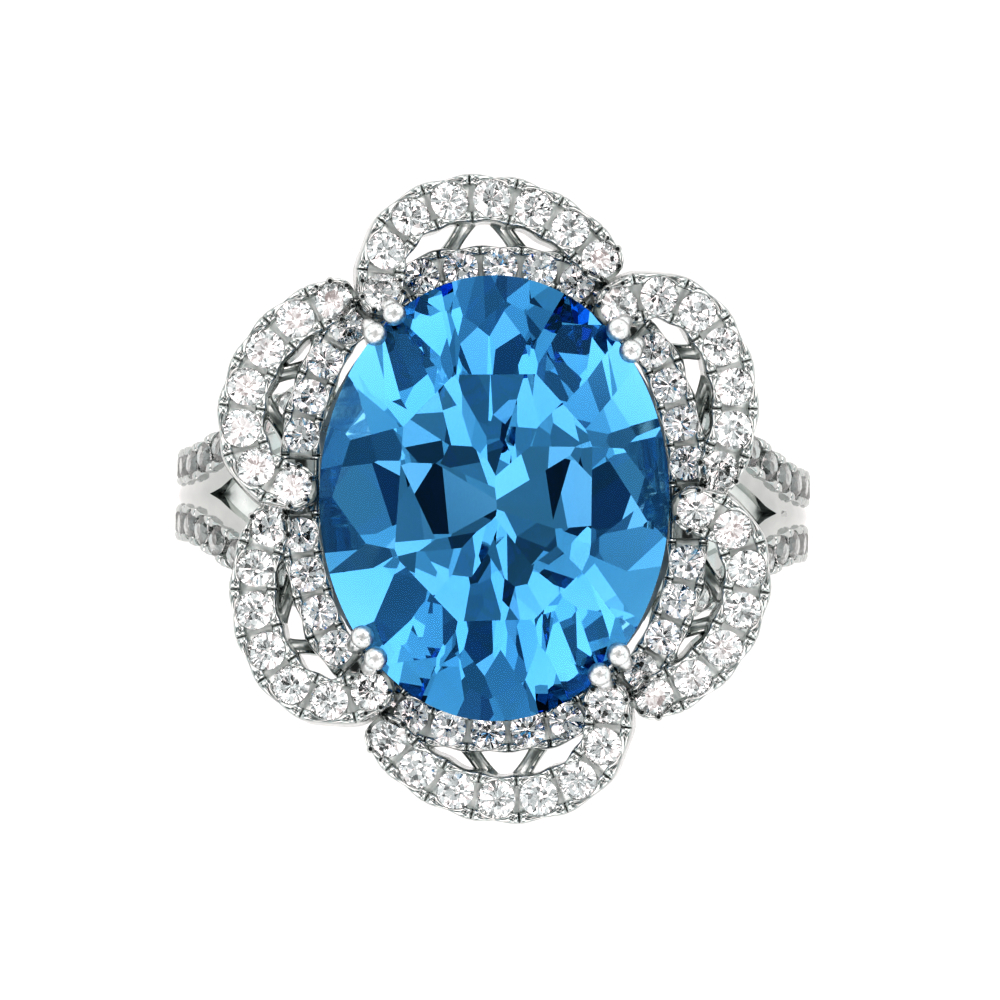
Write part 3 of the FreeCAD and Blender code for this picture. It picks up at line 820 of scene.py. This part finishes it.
def strut(foot, head, aside):
    """A flat bar with a rounded outer edge, which widens into an as-cast web under its petal."""
    ahead = (head - foot).normalized()
    across = ahead.cross(Vector((0, 0, 1))).normalized()
    if across.dot(aside) < 0:
        across = -across
    up = across.cross(ahead)
    if up.z < 0:
        up = -up
    rings, marks, parts = [], [], 24
    for part in range(parts + 1):
        share = part / parts
        outer = -0.2 - 0.12 * (2 * share - 1) ** 2
        inner = 0.2 + 0.42 * share**2 + 0.1 * (1 - share) ** 4
        section = [(outer, -0.3), (outer, 0.0), (outer + 0.03, 0.07), (outer + 0.08, 0.1)]
        section += [(outer + 0.13, 0.07), (outer + 0.16, -0.02), (outer + 0.22, -0.09)]
        section.append(((outer + inner) / 2 + 0.1, -0.14))
        section += [(inner - 0.06, -0.1), (inner, -0.15), (inner, -0.3)]
        spot = foot.lerp(head, share)
        rings.append([spot + across * reach + up * rise for reach, rise in section])
        marks += [int(column in WEB_COLUMNS) for column in range(len(section))]
    verts, faces = loft(rings)
    return verts, faces, marks[: len(faces)]


def make_struts():
    for name in PETALS:
        legs = [leg_ends(points) for points in islands("petal_struts_" + name)]
        shapes = []
        for (foot, head), (other_foot, other_head) in (legs, legs[::-1]):
            shapes.append(strut(foot, head, other_foot + other_head - foot - head))
        replaced = ["petal_struts_" + name]
        shape = joined(shapes)
        add_piece("webbed_struts_" + name, shape, WHITE_METAL, replaced, CRISP)


def tube(path, radii, sides=16):
    """A round wire along a path, as thick at each point as its radius says."""
    rings = []
    for number, (spot, radius) in enumerate(zip(path, radii)):
        before, after = path[max(number - 1, 0)], path[min(number + 1, len(path) - 1)]
        ahead = (after - before).normalized()
        # crossed with a direction that no wire here runs in
        across = ahead.cross(Vector((0.3, 0.1, 0.05))).normalized()
        beside = ahead.cross(across)
        ring = [across * math.cos(turn) + beside * math.sin(turn) for turn in around(sides)]
        rings.append([spot + outward * radius for outward in ring])
    return loft(rings)


def ball(centre, radius, sides=24):
    rings = []
    for tilt in around(sides)[1 : sides // 2]:
        level, reach = radius * math.cos(tilt), radius * math.sin(tilt)
        flat = [Vector((math.cos(turn), math.sin(turn), 0)) * reach for turn in around(sides)]
        rings.append([centre + outward + Vector((0, 0, level)) for outward in flat])
    return loft(rings)


# from the top of a CAD claw to its ball's centre
BALL_SHIFT = Vector((0.07, 0.12, -0.34))
BALL_RADIUS = 0.375
# a claw's radius at its foot and half way up, and then its way to the ball's centre: how far
# outside that, how far below it, and the claw's radius
LEG_RADII = (0.33, 0.31)
CLAW_NECK = ((0.34, 0.75, 0.27), (0.33, 0.35, 0.25), (0.22, 0.08, 0.24), (0.0, 0.0, 0.2))


def make_claws():
    """Claws that lean out of the basket, neck in over the stone's edge and end in a ball."""
    for name in [node for node in nodes if node.startswith("claws_")]:
        shapes = []
        for points in islands(name):
            levels = points[:, 2]
            top = Vector(points[levels > levels.max() - 0.02].mean(axis=0))
            foot = Vector(points[levels < levels.min() + 0.02].mean(axis=0))
            head = top + BALL_SHIFT
            out = Vector((head.x, head.y, 0)).normalized()
            neck = [head + out * aside - Vector((0, 0, drop)) for aside, drop, _ in CLAW_NECK]
            path = [foot, foot.lerp(neck[0], 0.5)] + neck
            radii = [*LEG_RADII] + [radius for _, _, radius in CLAW_NECK]
            shapes += [tube(path, radii), ball(head, BALL_RADIUS)]
        shape = joined(shapes)
        add_piece("ball_tipped_" + name, shape, BURNISHED, [name], CRISP_ON_CLAWS)


def finish_frame_nodes():
    """The CAD pieces that stay get as-cast metal and softened edges."""
    for name in ("base_rail", "gallery_rail"):
        piece = nodes[name]
        piece.data.materials.clear()
        piece.data.materials.append(AS_CAST)
        edge = piece.modifiers.new("worn_edge", "BEVEL")
        edge.width = 0.06 * MM
        edge.segments = 3
        edge.limit_method = "ANGLE"
        edge.angle_limit = math.radians(40)
        edge.harden_normals = True


# -------------------------------------------------------------------------- floor, light and camera


def make_floor():
    """A large pale square just below the hoop."""
    half, level = 600.0, -HOOP_RADIUS - 0.02
    corners = [(-half, -half), (half, -half), (half, half), (-half, half)]
    mesh = bpy.data.meshes.new("floor")
    mesh.from_pydata([Vector((x, y, level)) * MM for x, y in corners], [], [(0, 1, 2, 3)])
    material, tree, shader = new_material("pale_floor")
    colour = tint(tree, noise(tree, 60), (0.93, 0.93, 0.93), (0.95, 0.95, 0.95))
    tree.links.new(colour, shader.inputs["Base Color"])
    shader.inputs["Roughness"].default_value = 0.9
    mesh.materials.append(material)
    floor = bpy.data.objects.new("floor", mesh)
    bpy.context.scene.collection.objects.link(floor)


def math_node(tree, operation, *terms):
    node = tree.nodes.new("ShaderNodeMath")
    node.operation = operation
    for socket, term in zip(node.inputs, terms):
        if isinstance(term, (int, float)):
            socket.default_value = term
        else:
            tree.links.new(term, socket)
    return node.outputs[0]


def make_sky():
    """A soft white studio dome with lamps and dim places, one of them overhead at the camera."""
    world = bpy.data.worlds.new("studio")
    world.use_nodes = True
    bpy.context.scene.world = world
    tree = world.node_tree
    place = tree.nodes.new("ShaderNodeTexCoord")
    background = tree.nodes["Background"]

    def patch(azimuth, elevation, inner, outer):
        """One inside a round patch of sky, nothing outside it, soft between the two angles."""
        a, e = math.radians(azimuth), math.radians(elevation)
        towards = (math.cos(e) * math.cos(a), math.cos(e) * math.sin(a), math.sin(e))
        dot = tree.nodes.new("ShaderNodeVectorMath")
        dot.operation = "DOT_PRODUCT"
        dot.inputs[1].default_value = towards
        tree.links.new(place.outputs["Generated"], dot.inputs[0])
        edge = tree.nodes.new("ShaderNodeMapRange")
        edge.interpolation_type = "SMOOTHSTEP"
        edge.inputs["From Min"].default_value = math.cos(math.radians(outer))
        edge.inputs["From Max"].default_value = math.cos(math.radians(inner))
        tree.links.new(dot.outputs["Value"], edge.inputs["Value"])
        return edge.outputs["Result"]

    fill, lamps = FILL, 0.0
    for azimuth, elevation, inner, outer, strength in SKY:
        spot = math_node(tree, "MULTIPLY", patch(azimuth, elevation, inner, outer), abs(strength))
        if strength > 0:
            lamps = math_node(tree, "ADD", lamps, spot)
        else:
            fill = math_node(tree, "MULTIPLY", fill, math_node(tree, "SUBTRACT", 1.0, spot))
    total = None
    for light, colour in ((fill, FILL_COLOUR), (lamps, LAMP_COLOUR)):
        tinted = tree.nodes.new("ShaderNodeVectorMath")
        tinted.operation = "SCALE"
        tinted.inputs[0].default_value = colour
        tree.links.new(light, tinted.inputs["Scale"])
        if total:
            both = tree.nodes.new("ShaderNodeVectorMath")
            tree.links.new(total, both.inputs[0])
            tree.links.new(tinted.outputs[0], both.inputs[1])
            total = both.outputs[0]
        else:
            total = tinted.outputs[0]
    tree.links.new(total, background.inputs["Color"])


# the dome's own light, the shades of it and of the lamps, and the round patches in it: azimuth,
# elevation, inner and outer angle, and how much light the patch adds, or what share it takes away
FILL, FILL_COLOUR, LAMP_COLOUR = 1.17, (0.95, 1.0, 1.0), (0.99, 0.77, 0.76)
SKY = (
    (0, 90, 28, 34, -0.5),
    (0, 90, 7, 10, -0.9),
    (40, 40, 14, 18, 1.5),
    (135, 40, 14, 18, 1.3),
    (222, 40, 14, 18, 1.5),
    (315, 40, 14, 18, 1.3),
    (88, 30, 9, 13, 1.3),
    (268, 30, 9, 13, 1.3),
    (0, 44, 9, 13, -0.8),
    (88, 52, 6, 9, -0.8),
    (180, 44, 9, 13, -0.8),
    (268, 52, 6, 9, -0.8),
    (62, 62, 6, 9, -0.85),
    (152, 62, 6, 9, -0.85),
    (242, 62, 6, 9, -0.85),
    (332, 62, 6, 9, -0.85),
    (15, 24, 6, 9, -0.85),
    (195, 24, 6, 9, -0.85),
    (110, 26, 6, 9, -0.85),
    (290, 26, 6, 9, -0.85),
    (22, 73, 4, 6, 1.4),
    (112, 71, 4, 6, 1.4),
    (202, 73, 4, 6, 1.4),
    (292, 71, 4, 6, 1.4),
    (65, 18, 8, 12, -0.85),
    (155, 18, 8, 12, -0.85),
    (245, 18, 8, 12, -0.85),
    (335, 18, 8, 12, -0.85),
)


def make_camera():
    """Overhead, a little to the near side and turned with the head."""
    distance = 400.0
    tilt, lean = math.radians(1.06), math.radians(0.24)
    camera = bpy.data.cameras.new("camera")
    camera.lens = 458.6
    camera.sensor_width = 36.0
    camera.clip_start = 0.01
    camera.clip_end = 10.0
    eye = bpy.data.objects.new("camera", camera)
    bpy.context.scene.collection.objects.link(eye)
    turn = Matrix.Rotation(HEAD_TURN, 4, "Z")
    turn = turn @ Matrix.Rotation(tilt, 4, "X") @ Matrix.Rotation(-lean, 4, "Y")
    back = turn @ Vector((0, 0, 1))
    aim = Vector((0.18, -0.053, GIRDLE_LEVEL))
    eye.matrix_world = Matrix.Translation((aim + back * distance) * MM) @ turn
    bpy.context.scene.camera = eye


def set_view_and_light_paths():
    """Contrast as in the photograph, and enough bounces for light to leave the stones."""
    scene = bpy.context.scene
    scene.view_settings.view_transform = "Standard"
    scene.view_settings.look = "High Contrast"
    scene.view_settings.exposure = -0.25
    scene.cycles.max_bounces = 24
    scene.cycles.transmission_bounces = 20
    scene.cycles.glossy_bounces = 10
    scene.cycles.sample_clamp_indirect = 8.0


make_camera()
make_sky()
make_floor()
make_petals()
make_halo()
make_hoop()
make_centre_stone()
make_seat()
make_struts()
make_claws()
finish_frame_nodes()
set_view_and_light_paths()
